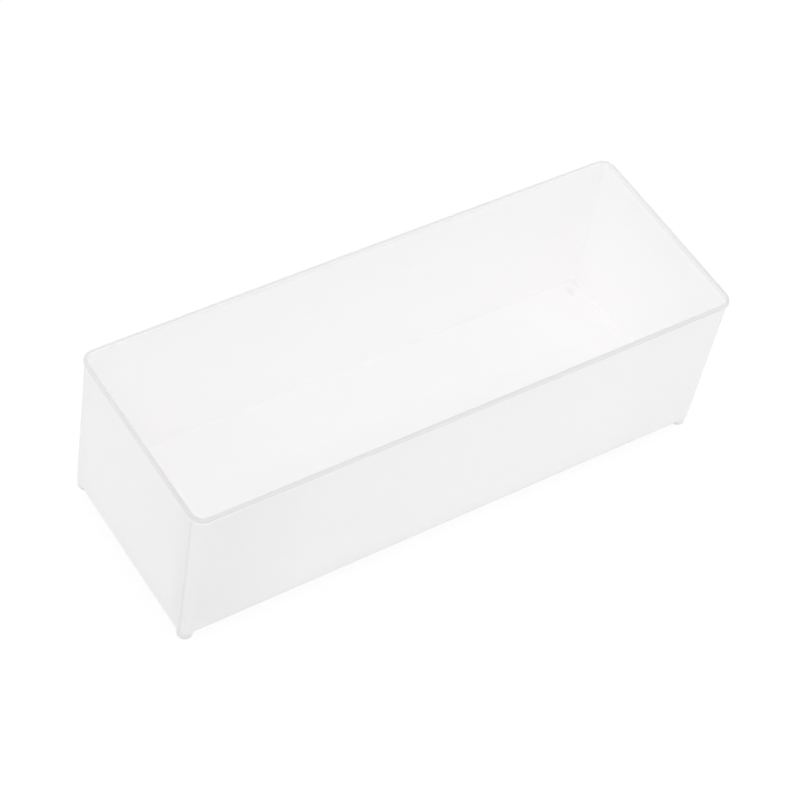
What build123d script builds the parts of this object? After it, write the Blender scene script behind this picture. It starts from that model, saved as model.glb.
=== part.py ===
from build123d import *
import os

# An open-topped storage bin for small parts, moulded in one piece in translucent plastic.
# Its walls lean in towards the floor, a narrow rim stands out round the mouth, and four short
# round feet hold the floor clear. The moulding is cut where its section changes, into floor,
# walls, corners, rim and feet, which meet face to face. Millimetres. The origin is the centre
# of the footprint, under the feet, with X along the length, Y across it and Z up.

# Overall size, over the rim and down to the feet
length = 153.0
width = 55.5
height = 47.6

# Thickness of the moulding
wall_thickness = 0.85
floor_thickness = 1.0

# How far each wall leans in, from the rim's underside to the floor's underside
end_draft = 0.45
side_draft = 0.7

# Inside radii of the upright corners, and the roundings along the floor
mouth_corner_radius = 2.3
floor_corner_radius = 1.3
inner_floor_rounding = 0.6
outer_floor_rounding = 0.2

# Rim: how far it stands out past the walls, how deep it is, and the rounding of its edges
rim_overhang = 0.35
rim_height = 0.9
rim_outer_rounding = 0.35
rim_inner_rounding = 0.2

# Feet, set in from the faces of the walls above them
foot_radius = 1.95
foot_height = 2.5
foot_setback = 0.2
foot_edge_rounding = 0.25

# Places that follow from the sizes above
rim_bottom = height - rim_height
floor_top = foot_height + floor_thickness
mouth_half_x = length / 2 - rim_overhang
mouth_half_y = width / 2 - rim_overhang
floor_half_x = mouth_half_x - end_draft
floor_half_y = mouth_half_y - side_draft
mouth_outer_radius = mouth_corner_radius + wall_thickness
floor_outer_radius = floor_corner_radius + wall_thickness
straight_half_x = min(mouth_half_x - mouth_outer_radius, floor_half_x - floor_outer_radius)
straight_half_y = min(mouth_half_y - mouth_outer_radius, floor_half_y - floor_outer_radius)
foot_x = floor_half_x - foot_setback - foot_radius
foot_y = floor_half_y - foot_setback - foot_radius


def wall_outline(z, inset):
    """The walls' rounded outline at height z, drawn in from their outer faces by inset."""
    share = (z - foot_height) / (rim_bottom - foot_height)
    half_x = floor_half_x + (mouth_half_x - floor_half_x) * share - inset
    half_y = floor_half_y + (mouth_half_y - floor_half_y) * share - inset
    radius = floor_outer_radius + (mouth_outer_radius - floor_outer_radius) * share - inset
    return Plane.XY.offset(z) * RectangleRounded(2 * half_x, 2 * half_y, radius)


def tapered_block(low, high, inset):
    """A solid between two outlines, which lean as the walls do."""
    return loft([wall_outline(low, inset), wall_outline(high, inset)], ruled=True)


def lowest_edges(solid):
    return solid.edges().group_by(Axis.Z)[0]


def make_cavity():
    """The space inside, rounded along the floor and open past the rim."""
    block = tapered_block(floor_top, height + rim_height, wall_thickness)
    rounding = min(inner_floor_rounding, 0.9 * floor_corner_radius)
    return fillet(lowest_edges(block), rounding)


def make_floor():
    """The floor under the whole plan. Its lower edge is rounded no further in than the feet."""
    block = tapered_block(foot_height, floor_top, 0)
    rounding = min(outer_floor_rounding, 0.9 * floor_thickness, foot_setback)
    return fillet(lowest_edges(block), rounding)


def make_rim(cavity):
    """A ring round the mouth, flush with the walls inside and proud of them outside."""
    outline = RectangleRounded(
        2 * (mouth_half_x + rim_overhang),
        2 * (mouth_half_y + rim_overhang),
        mouth_outer_radius + rim_overhang,
    )
    ring = extrude(Plane.XY.offset(rim_bottom) * outline, rim_height) - cavity
    top = ring.faces().sort_by(Axis.Z)[-1]
    outer_rounding = min(rim_outer_rounding, 0.45 * rim_height, 0.9 * rim_overhang)
    inner_rounding = min(rim_inner_rounding, 0.45 * wall_thickness)
    under = ring.faces().sort_by(Axis.Z)[0].outer_wire().edges()
    ring = fillet(top.outer_wire().edges() + under, outer_rounding)
    top = ring.faces().sort_by(Axis.Z)[-1]
    return fillet(top.inner_wires()[0].edges(), inner_rounding)


def make_walls(cavity):
    """Cuts the ring of walls into four straight walls and four upright corners."""
    ring = tapered_block(floor_top, rim_bottom, 0) - cavity
    spans_x = {
        "left": (-length, -straight_half_x),
        "": (-straight_half_x, straight_half_x),
        "right": (straight_half_x, length),
    }
    spans_y = {
        "front": (-width, -straight_half_y),
        "": (-straight_half_y, straight_half_y),
        "back": (straight_half_y, width),
    }
    pieces = {}
    for across, (low_y, high_y) in spans_y.items():
        for along, (low_x, high_x) in spans_x.items():
            if not (across or along):
                continue
            cutter = Pos((low_x + high_x) / 2, (low_y + high_y) / 2, height / 2) * Box(
                high_x - low_x, high_y - low_y, 2 * height
            )
            pieces[wall_name(across, along)] = ring & cutter
    return pieces


def wall_name(across, along):
    if across and along:
        return f"{across}_{along}_corner"
    return f"{across}_wall" if across else f"{along}_end_wall"


def make_feet():
    feet = {}
    for across, sign_y in (("front", -1), ("back", 1)):
        for along, sign_x in (("left", -1), ("right", 1)):
            foot = extrude(Circle(foot_radius), foot_height)
            foot = fillet(lowest_edges(foot), min(foot_edge_rounding, 0.45 * foot_height))
            feet[f"{across}_{along}_foot"] = Pos(sign_x * foot_x, sign_y * foot_y, 0) * foot
    return feet


cavity = make_cavity()
nodes = {"floor": make_floor(), "rim": make_rim(cavity)}
nodes.update(make_walls(cavity))
nodes.update(make_feet())

os.makedirs("parts", exist_ok=True)
for name, piece in nodes.items():
    export_step(piece, f"parts/{name}.step")
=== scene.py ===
import math

import bmesh
import bpy
from mathutils import Matrix, Vector


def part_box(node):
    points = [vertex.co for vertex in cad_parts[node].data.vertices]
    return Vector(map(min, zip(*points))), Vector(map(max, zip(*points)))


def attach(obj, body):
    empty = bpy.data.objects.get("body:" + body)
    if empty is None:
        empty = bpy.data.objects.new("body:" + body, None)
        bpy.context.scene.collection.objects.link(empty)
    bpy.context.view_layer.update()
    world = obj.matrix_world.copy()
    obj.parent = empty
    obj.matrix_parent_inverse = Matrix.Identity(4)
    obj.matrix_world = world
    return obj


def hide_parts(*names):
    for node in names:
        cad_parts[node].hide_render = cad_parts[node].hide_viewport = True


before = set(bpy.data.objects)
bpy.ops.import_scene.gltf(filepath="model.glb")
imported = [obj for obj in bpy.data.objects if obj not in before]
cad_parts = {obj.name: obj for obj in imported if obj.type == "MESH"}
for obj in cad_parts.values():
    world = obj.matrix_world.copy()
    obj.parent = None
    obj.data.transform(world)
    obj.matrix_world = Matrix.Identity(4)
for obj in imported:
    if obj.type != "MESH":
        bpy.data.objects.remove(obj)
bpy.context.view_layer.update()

# An open-topped storage bin in translucent plastic, moulded in one piece. The CAD solids divide it
# into floor, walls, corners, rim and feet; here one closed skin stands for them all, so that no
# joint lines show. Sizes that the frame gives are read from it. All lengths are in metres.

MM = 0.001

# Section of the moulding. Its main sizes are those of the CAD solids. Its smallest roundings differ
# a little from theirs, so that the edges catch the light as in the photograph.
WALL = 0.85 * MM
END_DRAFT = 0.45 * MM
SIDE_DRAFT = 0.7 * MM
FLOOR_INNER_RADIUS = 1.3 * MM
INNER_FLOOR_ROUNDING = 0.6 * MM
OUTER_FLOOR_ROUNDING = 0.16 * MM
RIM_UNDER_ROUNDING = 0.1 * MM
RIM_LOWER_ROUNDING = 0.22 * MM
RIM_OUTER_ROUNDING = 0.35 * MM
RIM_INNER_ROUNDING = 0.2 * MM
FOOT_EDGE_ROUNDING = 0.25 * MM

# Narrow bands next to the large flat faces, and how far large faces lead at a shared edge. Both
# keep the shading of flat faces flat.
FLOOR_BAND = 0.3 * MM
UNDERSIDE_BAND = 0.02 * MM
FOOT_TOP_BAND = 0.08 * MM
FLAT_FACE_WEIGHT = 80

# How far the corners of the mouth stand in from the middles of the sides, as thin walls spring out
SIDE_BOW = 0.2 * MM
END_BOW = 0.08 * MM

# Steps of the mesh along straight sides, round corners, up the walls and round small edges
LONG_STEPS = 36
SHORT_STEPS = 14
CORNER_STEPS = 14
WALL_STEPS = 10
EDGE_STEPS = 5
FOOT_STEPS = 48

# The plastic, in linear colours. The greys below say how far it goes from thin plastic to a grey for
# thick plastic and painted shade, and they add up. Each SHARE multiplies its grey at one end or height
# of the bin.
THIN_PLASTIC = (0.980, 0.973, 0.976, 1)
THICK_PLASTIC_AND_SHADE = (0.300, 0.297, 0.298, 1)
REFRACTION = 1.49
LIGHT_SPREAD = 1.2 * MM
SMOOTHEST = 0.52
ROUGHEST = 0.64
WEAR_SIZE = 9 * MM

# Relief too shallow for the mesh: a fine grain, and a broad swell like sink marks
GRAIN_SIZE = 0.5 * MM
GRAIN_DEPTH = 0.004 * MM
GRAIN_STRENGTH = 0.35
GRAIN_FILTER = 1.0
SWELL_SIZE = 14 * MM
SWELL_DEPTH = 0.06 * MM
SWELL_STRENGTH = 0.5

# Grey along the rim, partly thick plastic and partly painted shade that is most at the left end and
# least
# at the back: full within the core of a line near its outer top edge, gone at its reach
RIM_GREY_AND_SHADE = 0.385
RIM_GREY_DEPTH = 0.15 * MM
RIM_GREY_DROP = 0.05 * MM
RIM_GREY_CORE = 0.2 * MM
RIM_GREY_REACH = 1.45 * MM
RIM_BACK_SHARE = 0.82
RIM_LEFT_SHARE = 1.1
LEFT_END = 0.04

# Painted shade on the feet, from a little below the floor, and how it fades towards the right and the
# back
FOOT_SHADE = 0.04
FOOT_GREY_FADE = 0.4 * MM
FOOT_AWAY_START = 0.2
FOOT_AWAY_END = 0.8

# Painted shade on the whole outside, up to a fade below the rim
OUTSIDE_SHADE = 0.12
OUTSIDE_RIGHT_SHARE = 0.55
OUTSIDE_BACK_SHARE = 0.3
OUTSIDE_FADE = 0.1 * MM
BELOW_RIM_FADE = 1.5 * MM

# Grey towards the upright corners, partly thick plastic and partly painted shade: stronger low on the
# walls, weaker again just above the feet
CORNER_GREY_AND_SHADE = 0.055
CORNER_RIGHT_SHARE = 0.5
CORNER_BACK_SHARE = 0.6
CORNER_GREY_REACH = 34 * MM
CORNER_GREY_CORE = 6.8 * MM
CORNER_FOOT_SHARE = 0.5
CORNER_FOOT_FADE = 1.0 * MM
CORNER_LOW_SHARE = 1.3
CORNER_LOW_START = 36 * MM
CORNER_LOW_END = 15 * MM
CORNER_BOTTOM_SHARE = 0.6
CORNER_BOTTOM_START = 9 * MM

# Painted refraction: a dark line up each corner, where light bends through the rounding
CORNER_REFRACTION_GREY = 0.09
CORNER_LINE_WIDTH = 0.6 * MM
CORNER_LINE_SIDE_FADE = 0.3 * MM
CORNER_LINE_END_FADE = 1.0 * MM

# Painted shade of each foot and its contact shadow, seen through the floor: a disc, and a short stroke
# that is narrower in X than in Y
FOOT_SHADOW_GREY = 0.07
FOOT_MARK_INSET = 2.2 * MM
FOOT_MARK_RADIUS = 2.1 * MM
FOOT_MARK_CORE = 0.5
FOOT_SHADOW_STROKE_GREY = 0.08
FOOT_STROKE_NARROWING = 0.35
FOOT_STROKE_CORE = 0.2 * MM
FOOT_STROKE_REACH = 0.9 * MM
FLOOR_MARK_FADE = 0.3 * MM

# Clouds and streaks in the plastic
CLOUD_GREY = 0.02
CLOUD_SIZE = 30 * MM
CLOUD_PART = 0.7
STREAK_SIZE = 2.5 * MM
STREAK_STRETCH = 6.0
STREAK_PART = 0.3

# Most of what a noise texture gives lies between these
NOISE_LOW = 0.3
NOISE_HIGH = 0.7

# Light: the world, and softboxes as (name, place, size, watts), aimed at the bin
WORLD_LIGHT = 0.758
SOFTBOXES = (
    ("overhead", (0.0, 0.0, 1.6), 1.2, 4.4),
    ("front_left", (-0.8, -0.8, 1.3), 1.2, 2.26),
    ("left", (-1.5, 0.0, 0.8), 1.2, 1.3),
    ("back", (0.0, 1.2, 1.2), 1.2, 0.12),
    ("right", (1.2, 0.0, 1.2), 1.2, 0.22),
    ("near_right", (0.35, -0.45, 0.3), 0.3, 0.21),
)
BOUNCES = 24

# Table: its size and own colour, the strength of the plain white that covers it for the camera, and
# how much of its shading the camera sees through that white
TABLE_SIZE = 6
TABLE_COLOUR = (0.95, 0.95, 0.95, 1)
TABLE_WHITE = 1.02
TABLE_SHADING_SEEN = 0.15
WHITE = (1, 1, 1, 1)

# Camera, from the photograph's lines. The lens is in pixels of the picture, and the sensor in mm.
AIM = Vector((-2.47, -2.23, 24.1)) * MM
AZIMUTH = math.radians(-42.14)
ELEVATION = math.radians(49.6)
ROLL = math.radians(12.48)
DISTANCE = 631.2 * MM
LENS_PX = 2580
PICTURE_PX = 800
SENSOR = 36.0
CLIP_START = 10 * MM

# Sizes read from the frame
floor_low, floor_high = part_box("floor")
rim_low, rim_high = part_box("rim")
corner_low, corner_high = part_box("back_right_corner")
foot_low, foot_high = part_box("back_right_foot")
FLOOR_BOTTOM = floor_low.z
FLOOR_TOP = floor_high.z
RIM_BOTTOM = rim_low.z
RIM_TOP = rim_high.z
HALF_X = rim_high.x
HALF_Y = rim_high.y
OVERHANG = rim_high.x - corner_high.x
MOUTH_RADIUS = corner_high.x - corner_low.x
FLOOR_RADIUS = FLOOR_INNER_RADIUS + WALL
FOOT_RADIUS = (foot_high.x - foot_low.x) / 2
FOOT_X = (foot_high.x + foot_low.x) / 2
FOOT_Y = (foot_high.y + foot_low.y) / 2


def steps(first, last, count):
    """Both ends, and the even steps between them."""
    return [first + (last - first) * k / count for k in range(count + 1)]


def quarter(count):
    """(sine, cosine) at even steps through a quarter turn."""
    return [(math.sin(a), math.cos(a)) for a in steps(0, math.pi / 2, count)]


def profile():
    """Stations (z, inset from the walls' outer face) up the outside, over the rim and down inside."""
    r = OUTER_FLOOR_ROUNDING
    path = [(FLOOR_BOTTOM, r + UNDERSIDE_BAND)]
    path += [(FLOOR_BOTTOM + r * (1 - c), r * (1 - s)) for s, c in quarter(EDGE_STEPS)]
    low, high = path[-1][0], RIM_BOTTOM - RIM_UNDER_ROUNDING
    path += [(z, 0) for z in steps(low, high, WALL_STEPS)[1:]]
    r = RIM_UNDER_ROUNDING
    path += [(RIM_BOTTOM - r * (1 - s), -r * (1 - c)) for s, c in quarter(EDGE_STEPS)[1:]]
    r = RIM_LOWER_ROUNDING
    path += [(RIM_BOTTOM + r * (1 - c), -OVERHANG + r * (1 - s)) for s, c in quarter(EDGE_STEPS)]
    r = RIM_OUTER_ROUNDING
    path += [(RIM_TOP - r * (1 - s), -OVERHANG + r * (1 - c)) for s, c in quarter(EDGE_STEPS)]
    r = RIM_INNER_ROUNDING
    path += [(RIM_TOP - r * (1 - c), WALL - r * (1 - s)) for s, c in quarter(EDGE_STEPS)]
    low = FLOOR_TOP + INNER_FLOOR_ROUNDING
    path += [(z, WALL) for z in steps(path[-1][0], low, WALL_STEPS)[1:]]
    r = INNER_FLOOR_ROUNDING
    path += [(FLOOR_TOP + r * (1 - s), WALL + r * (1 - c)) for s, c in quarter(EDGE_STEPS)[1:]]
    path.append((FLOOR_TOP, WALL + r + FLOOR_BAND))
    return path


def lean(z):
    """0 at the floor's underside and 1 from the rim's underside up."""
    return min((z - FLOOR_BOTTOM) / (RIM_BOTTOM - FLOOR_BOTTOM), 1)


def outline(z, inset):
    """Points round the walls' rounded outline at height z, drawn in by inset."""
    share = lean(z)
    half_x = HALF_X - OVERHANG - END_DRAFT * (1 - share) - inset
    half_y = HALF_Y - OVERHANG - SIDE_DRAFT * (1 - share) - inset
    radius = FLOOR_RADIUS + (MOUTH_RADIUS - FLOOR_RADIUS) * share - inset
    # Each corner, the angle at which it starts, and the steps of the straight side that follows
    corners = (
        (1, -1, -90, SHORT_STEPS),
        (1, 1, 0, LONG_STEPS),
        (-1, 1, 90, SHORT_STEPS),
        (-1, -1, 180, LONG_STEPS),
    )
    points = []
    for sign_x, sign_y, start, side_steps in corners:
        centre = Vector((sign_x * (half_x - radius), sign_y * (half_y - radius), z))
        for degrees in steps(start, start + 90, CORNER_STEPS):
            a = math.radians(degrees)
            points.append(centre + Vector((math.cos(a), math.sin(a), 0)) * radius)
        last = points[-1]
        if side_steps == SHORT_STEPS:
            end = Vector((last.x, -last.y, z))
        else:
            end = Vector((-last.x, last.y, z))
        points += [last.lerp(end, t) for t in steps(0, 1, side_steps)[1:-1]]
    return points


def bowed(point):
    """Draws the corners of the mouth in a little, so that the walls swell between them."""
    share = lean(point.z)
    along = 1 - SIDE_BOW / HALF_Y * share * (point.x / HALF_X) ** 2
    across = 1 - END_BOW / HALF_X * share * (point.y / HALF_Y) ** 2
    return Vector((point.x * across, point.y * along, point.z))


def ring_of(bm, points):
    return [bm.verts.new(p) for p in points]


def bridge(bm, first, second):
    """A band of faces between two rings of as many points."""
    count = len(first)
    for k in range(count):
        n = (k + 1) % count
        bm.faces.new((first[k], first[n], second[n], second[k]))


def loop_edges(bm, ring):
    """The edges round a ring, made where they are missing."""
    pairs = [(ring[k], ring[k - 1]) for k in range(len(ring))]
    return [bm.edges.get(pair) or bm.edges.new(pair) for pair in pairs]


def circle(x, y, z, radius):
    """Points round a foot."""
    turn = 2 * math.pi / FOOT_STEPS
    angles = [k * turn for k in range(FOOT_STEPS)]
    return [Vector((x + radius * math.cos(a), y + radius * math.sin(a), z)) for a in angles]


def add_foot(bm, x, y):
    """A round peg below the floor, with a rounded lower edge. Returns its top ring."""
    r = FOOT_EDGE_ROUNDING
    stations = [(FLOOR_BOTTOM - down, FOOT_RADIUS) for down in (0, FOOT_TOP_BAND, FLOOR_BOTTOM / 2)]
    stations += [(r * (1 - s), FOOT_RADIUS - r * (1 - c)) for s, c in quarter(EDGE_STEPS)]
    stations.append((0, FOOT_RADIUS / 2))
    rings = [ring_of(bm, circle(x, y, z, radius)) for z, radius in stations]
    for upper, lower in zip(rings, rings[1:]):
        bridge(bm, upper, lower)
    bm.faces.new(rings[-1])
    return rings[0]


def make_moulding():
    """The whole bin as one closed skin: walls, rim, floor and feet."""
    bm = bmesh.new()
    rings = [ring_of(bm, outline(z, inset)) for z, inset in profile()]
    for lower, upper in zip(rings, rings[1:]):
        bridge(bm, lower, upper)
    feet = [add_foot(bm, sx * FOOT_X, sy * FOOT_Y) for sx in (-1, 1) for sy in (-1, 1)]
    underside = loop_edges(bm, rings[0])
    for ring in feet:
        underside += loop_edges(bm, ring)
    bmesh.ops.triangle_fill(bm, use_beauty=True, edges=underside)
    bmesh.ops.triangle_fill(bm, use_beauty=True, edges=loop_edges(bm, rings[-1]))
    for v in bm.verts:
        v.co = bowed(v.co)
    bmesh.ops.recalc_face_normals(bm, faces=bm.faces)
    mesh = bpy.data.meshes.new("bin_moulding")
    bm.to_mesh(mesh)
    bm.free()
    mesh.shade_smooth()
    piece = bpy.data.objects.new("bin_moulding", mesh)
    bpy.context.scene.collection.objects.link(piece)
    weighted = piece.modifiers.new("flat_faces", "WEIGHTED_NORMAL")
    weighted.mode = "FACE_AREA"
    weighted.weight = FLAT_FACE_WEIGHT
    return piece


class NodeTree:
    """Adds shader nodes to a material or a world, and links them up."""

    def __init__(self, owner):
        owner.use_nodes = True
        self.nodes, self.links = owner.node_tree.nodes, owner.node_tree.links

    def feed(self, socket, value):
        if isinstance(value, bpy.types.NodeSocket):
            self.links.new(value, socket)
        else:
            socket.default_value = value

    def add(self, kind, *values, **settings):
        """A node of this kind, with values linked or set on its inputs in order."""
        node = self.nodes.new("ShaderNode" + kind)
        for name, value in settings.items():
            setattr(node, name, value)
        for socket, value in zip(node.inputs, values):
            self.feed(socket, value)
        return node

    def maths(self, operation, *values):
        return self.add("Math", *values, operation=operation).outputs[0]

    def product(self, first, *others):
        for other in others:
            first = self.maths("MULTIPLY", first, other)
        return first

    def fade(self, value, start, end, first=0.0, last=1.0, how="SMOOTHSTEP"):
        """Goes from first to last as value goes from start to end, and stays level past them."""
        return self.add("MapRange", value, start, end, first, last, interpolation_type=how).outputs[0]

    def noise(self, place, size, detail=2.0, roughness=0.5):
        """Cloudy noise from 0 to 1, whose largest features are about size across."""
        return self.add("TexNoise", place, 0.0, 1 / size, detail, roughness).outputs[0]

    def stretched(self, place, x, y, z):
        """Place, drawn out by these factors."""
        return self.add("VectorMath", place, (1 / x, 1 / y, 1 / z), operation="MULTIPLY").outputs[0]

    def near(self, first, at_first, second, at_second):
        """How far (first, second) is from a point of that plane."""
        across = self.maths("SUBTRACT", first, at_first)
        along = self.maths("SUBTRACT", second, at_second)
        squares = self.maths("ADD", self.product(across, across), self.product(along, along))
        return self.maths("SQRT", squares)


class BinPlace:
    """Where a point of the surface lies on the bin, as sockets for its materials."""

    def __init__(self, tree):
        self.tree = tree
        self.place = tree.nodes.new("ShaderNodeTexCoord").outputs["Object"]
        parts = tree.add("SeparateXYZ", self.place).outputs
        self.to_right = tree.fade(parts[0], -HALF_X, HALF_X, how="LINEAR")
        self.to_back = tree.fade(parts[1], -HALF_Y, HALF_Y, how="LINEAR")
        self.x = tree.maths("ABSOLUTE", parts[0])
        self.y = tree.maths("ABSOLUTE", parts[1])
        self.z = parts[2]
        # Distances past the corners' centres, and depth below the outer face of the walls
        self.past_x = tree.maths("SUBTRACT", self.x, self.leaning(HALF_X - OVERHANG, END_DRAFT))
        self.past_y = tree.maths("SUBTRACT", self.y, self.leaning(HALF_Y - OVERHANG, SIDE_DRAFT))
        past_corner_x = tree.maths("MAXIMUM", self.past_x, 0.0)
        past_corner_y = tree.maths("MAXIMUM", self.past_y, 0.0)
        reach = tree.near(past_corner_x, 0.0, past_corner_y, 0.0)
        radius = self.up_the_walls(FLOOR_RADIUS, MOUTH_RADIUS)
        self.depth = tree.maths("SUBTRACT", radius, reach)
        self.outside = tree.fade(self.depth, WALL / 2, WALL / 2 - OUTSIDE_FADE)

    def up_the_walls(self, at_floor, at_rim):
        """Goes evenly from one value to the other with height."""
        return self.tree.fade(self.z, FLOOR_BOTTOM, RIM_BOTTOM, at_floor, at_rim, how="LINEAR")

    def leaning(self, mouth, draft):
        """Where the corners' centres are at this height, out from the middle."""
        return self.up_the_walls(mouth - draft - FLOOR_RADIUS, mouth - MOUTH_RADIUS)

    def towards_right(self, share):
        """1 at the left end, and this share at the right end."""
        return self.tree.fade(self.to_right, 0.0, 1.0, 1.0, share, how="LINEAR")

    def towards_back(self, share):
        """1 at the front, and this share at the back."""
        return self.tree.fade(self.to_back, 0.0, 1.0, 1.0, share, how="LINEAR")

    def below_rim(self, fade):
        """1 on the walls, and 0 from the rim's underside up."""
        return self.tree.fade(self.z, RIM_BOTTOM, RIM_BOTTOM - fade)


def rim_grey_and_shade(tree, at):
    """Grey of thick plastic and painted shade along the rim, towards its outer top edge, most at the
    left end and least at the back.
    """
    from_edge = tree.near(at.depth, RIM_GREY_DEPTH, at.z, RIM_TOP - RIM_GREY_DROP)
    grey = tree.fade(from_edge, RIM_GREY_REACH, RIM_GREY_CORE, 0.0, RIM_GREY_AND_SHADE)
    left_end = tree.fade(at.to_right, 0.0, LEFT_END, RIM_LEFT_SHARE, 1.0)
    return tree.product(grey, left_end, at.towards_back(RIM_BACK_SHARE))


def foot_shade(tree, at):
    """Painted shade: the front left foot is greyer than the others."""
    grey = tree.fade(at.z, FLOOR_BOTTOM, FLOOR_BOTTOM - FOOT_GREY_FADE, 0.0, FOOT_SHADE)
    away = tree.maths("MAXIMUM", at.to_right, at.to_back)
    return tree.product(grey, tree.fade(away, FOOT_AWAY_START, FOOT_AWAY_END, 1.0, 0.0))


def outside_shade(tree, at):
    """Painted shade: the outer faces are greyer, most at the front left."""
    grey = tree.product(at.outside, OUTSIDE_SHADE, at.below_rim(BELOW_RIM_FADE))
    return tree.product(grey, at.towards_right(OUTSIDE_RIGHT_SHARE), at.towards_back(OUTSIDE_BACK_SHARE))


def corner_grey_and_shade(tree, at):
    """The outside is a little greyer towards the upright corners: partly thick plastic, partly painted
    shade, most at the front left.
    """
    along = tree.fade(at.past_x, -CORNER_GREY_REACH, -CORNER_GREY_CORE)
    across = tree.fade(at.past_y, -CORNER_GREY_CORE, 0.0)
    above_foot = tree.fade(at.z, FLOOR_BOTTOM - CORNER_FOOT_FADE, FLOOR_BOTTOM + CORNER_FOOT_FADE,
                           CORNER_FOOT_SHARE, 1.0)
    low = tree.fade(at.z, CORNER_LOW_START, CORNER_LOW_END, 1.0, CORNER_LOW_SHARE)
    bottom = tree.fade(at.z, CORNER_BOTTOM_START, FLOOR_BOTTOM, 1.0, CORNER_BOTTOM_SHARE)
    on_wall = tree.product(at.below_rim(BELOW_RIM_FADE), above_foot, low, bottom)
    uneven = tree.product(at.towards_right(CORNER_RIGHT_SHARE), at.towards_back(CORNER_BACK_SHARE))
    return tree.product(at.outside, CORNER_GREY_AND_SHADE, along, across, on_wall, uneven)


def corner_refraction_line(tree, at):
    """Painted refraction: a fine dark line up each corner, outside, where the end wall runs into it and
    light bends through the rounding.
    """
    off_line = tree.maths("ABSOLUTE", tree.maths("SUBTRACT", at.past_y, CORNER_LINE_WIDTH))
    line = tree.fade(off_line, CORNER_LINE_WIDTH, 0.0, 0.0, CORNER_REFRACTION_GREY)
    on_end = tree.fade(at.past_x, FLOOR_RADIUS / 2, FLOOR_RADIUS / 2 + CORNER_LINE_SIDE_FADE)
    above_floor = tree.fade(at.z, FLOOR_BOTTOM, FLOOR_BOTTOM + CORNER_LINE_END_FADE)
    return tree.product(line, at.below_rim(CORNER_LINE_END_FADE), above_floor, on_end, at.outside)


def foot_shadow_through_floor(tree, at):
    """Painted shade: the feet and their contact shadows on the table, as they show through the floor."""
    mark_x, mark_y = FOOT_X - FOOT_MARK_INSET, FOOT_Y - FOOT_MARK_INSET
    off_disc = tree.near(at.x, mark_x, at.y, mark_y)
    disc = tree.fade(off_disc, FOOT_MARK_RADIUS, FOOT_MARK_CORE * FOOT_MARK_RADIUS, 0.0, FOOT_SHADOW_GREY)
    along_stroke = tree.product(tree.maths("SUBTRACT", at.y, mark_y), FOOT_STROKE_NARROWING)
    off_stroke = tree.near(at.x, mark_x, along_stroke, 0.0)
    stroke = tree.fade(off_stroke, FOOT_STROKE_REACH, FOOT_STROKE_CORE, 0.0, FOOT_SHADOW_STROKE_GREY)
    below_walls = tree.fade(at.z, FLOOR_TOP + 2 * FLOOR_MARK_FADE, FLOOR_TOP + FLOOR_MARK_FADE)
    above_underside = tree.fade(at.z, FLOOR_BOTTOM + FLOOR_MARK_FADE, FLOOR_TOP - FLOOR_MARK_FADE)
    return tree.product(below_walls, above_underside, tree.maths("ADD", disc, stroke))


def cloud_grey(tree, at):
    """Faint clouds and streaks, as the melt flowed up the walls."""
    clouds = tree.noise(at.place, CLOUD_SIZE, detail=3.0)
    streaks = tree.noise(tree.stretched(at.place, 1.0, 1.0, STREAK_STRETCH), STREAK_SIZE)
    both = tree.maths("ADD", tree.product(clouds, CLOUD_PART), tree.product(streaks, STREAK_PART))
    return tree.fade(both, NOISE_LOW, NOISE_HIGH, 0.0, CLOUD_GREY, how="LINEAR")


def translucent_plastic():
    """Natural polypropylene: satin, milky, paler where it is thin, and greyer where it is thick and
    where shade is painted on.
    """
    material = bpy.data.materials.new("translucent_plastic")
    tree = NodeTree(material)
    at = BinPlace(tree)
    # One grey from clouds, thick plastic and painted shade
    grey = cloud_grey(tree, at)
    for part in (rim_grey_and_shade, foot_shade, outside_shade, corner_grey_and_shade, corner_refraction_line, foot_shadow_through_floor):
        grey = tree.maths("ADD", grey, part(tree, at))
    colour = tree.add("MixRGB", grey, THIN_PLASTIC, THICK_PLASTIC_AND_SHADE).outputs[0]
    wear = tree.noise(at.place, WEAR_SIZE, detail=4.0, roughness=0.6)
    roughness = tree.fade(wear, NOISE_LOW, NOISE_HIGH, SMOOTHEST, ROUGHEST, how="LINEAR")
    grain = tree.noise(at.place, GRAIN_SIZE)
    swell = tree.noise(at.place, SWELL_SIZE, detail=1.0)
    fine = tree.add("Bump", GRAIN_STRENGTH, GRAIN_DEPTH, GRAIN_FILTER, grain)
    broad = tree.add("Bump", SWELL_STRENGTH, SWELL_DEPTH)
    tree.feed(broad.inputs["Height"], swell)
    tree.feed(broad.inputs["Normal"], fine.outputs[0])
    shader = tree.nodes["Principled BSDF"]
    tree.feed(shader.inputs["Base Color"], colour)
    tree.feed(shader.inputs["Roughness"], roughness)
    tree.feed(shader.inputs["Normal"], broad.outputs[0])
    shader.inputs["IOR"].default_value = REFRACTION
    shader.inputs["Subsurface Weight"].default_value = 1.0
    shader.inputs["Subsurface Radius"].default_value = (1, 1, 1)
    shader.inputs["Subsurface Scale"].default_value = LIGHT_SPREAD
    return material


def white_where_seen(tree, lit, seen, output):
    """Shows seen to camera, glossy and transmission rays, and lit to all others."""
    path = tree.nodes.new("ShaderNodeLightPath").outputs
    looks = tree.maths("MAXIMUM", path["Is Camera Ray"], path["Is Glossy Ray"])
    looks = tree.maths("MAXIMUM", looks, path["Is Transmission Ray"])
    tree.feed(output, tree.add("MixShader", looks, lit, seen).outputs[0])


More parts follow.
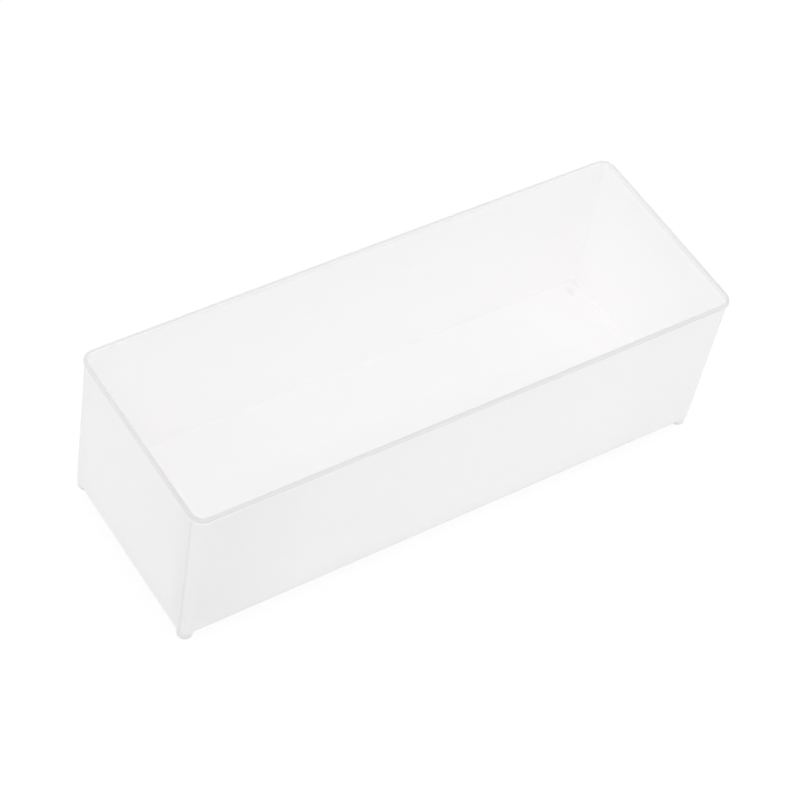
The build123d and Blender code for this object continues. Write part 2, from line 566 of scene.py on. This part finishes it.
def make_table():
    """A plain white table, which looks white and still holds a soft shadow."""
    bpy.ops.mesh.primitive_plane_add(size=TABLE_SIZE, location=(0, 0, 0))
    table = bpy.context.object
    table.name = "table"
    material = bpy.data.materials.new("white_table")
    tree = NodeTree(material)
    tree.nodes.clear()
    output = tree.nodes.new("ShaderNodeOutputMaterial")
    lit = tree.add("BsdfDiffuse", TABLE_COLOUR).outputs[0]
    glow = tree.add("Emission", WHITE, TABLE_WHITE).outputs[0]
    seen = tree.add("MixShader", 1 - TABLE_SHADING_SEEN, lit, glow).outputs[0]
    white_where_seen(tree, lit, seen, output.inputs["Surface"])
    table.data.materials.append(material)


def make_world():
    """Even light from all round, which shows as plain white."""
    world = bpy.data.worlds.new("studio")
    bpy.context.scene.world = world
    tree = NodeTree(world)
    tree.nodes.clear()
    output = tree.nodes.new("ShaderNodeOutputWorld")
    lit = tree.add("Background", WHITE, WORLD_LIGHT).outputs[0]
    seen = tree.add("Background", WHITE, 1.0).outputs[0]
    white_where_seen(tree, lit, seen, output.inputs["Surface"])


def add_softbox(name, place, size, watts):
    """A square lamp that faces the bin."""
    data = bpy.data.lights.new(name, "AREA")
    data.shape = "SQUARE"
    data.size = size
    data.energy = watts
    lamp = bpy.data.objects.new(name, data)
    lamp.location = place
    lamp.rotation_euler = (-Vector(place)).to_track_quat("-Z", "Y").to_euler()
    bpy.context.scene.collection.objects.link(lamp)


def make_camera():
    back = Vector((
        math.sin(AZIMUTH) * math.cos(ELEVATION),
        -math.cos(AZIMUTH) * math.cos(ELEVATION),
        math.sin(ELEVATION),
    ))
    data = bpy.data.cameras.new("camera")
    data.sensor_width = SENSOR
    data.lens = LENS_PX / PICTURE_PX * SENSOR
    data.clip_start = CLIP_START
    camera = bpy.data.objects.new("camera", data)
    turn = (-back).to_track_quat("-Z", "Y").to_matrix() @ Matrix.Rotation(ROLL, 3, "Z")
    camera.matrix_world = Matrix.Translation(AIM + back * DISTANCE) @ turn.to_4x4()
    bpy.context.scene.collection.objects.link(camera)
    bpy.context.scene.camera = camera


def let_light_through():
    """Light passes many times through thin pale walls, so it is followed further than usual."""
    cycles = bpy.context.scene.cycles
    cycles.max_bounces = BOUNCES
    cycles.diffuse_bounces = BOUNCES
    cycles.glossy_bounces = BOUNCES
    cycles.transmission_bounces = BOUNCES


make_camera()
moulding = make_moulding()
moulding.data.materials.append(translucent_plastic())
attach(moulding, "root")
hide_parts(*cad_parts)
make_table()
make_world()
for softbox in SOFTBOXES:
    add_softbox(*softbox)
let_light_through()
bpy.context.scene.view_settings.view_transform = "Standard"
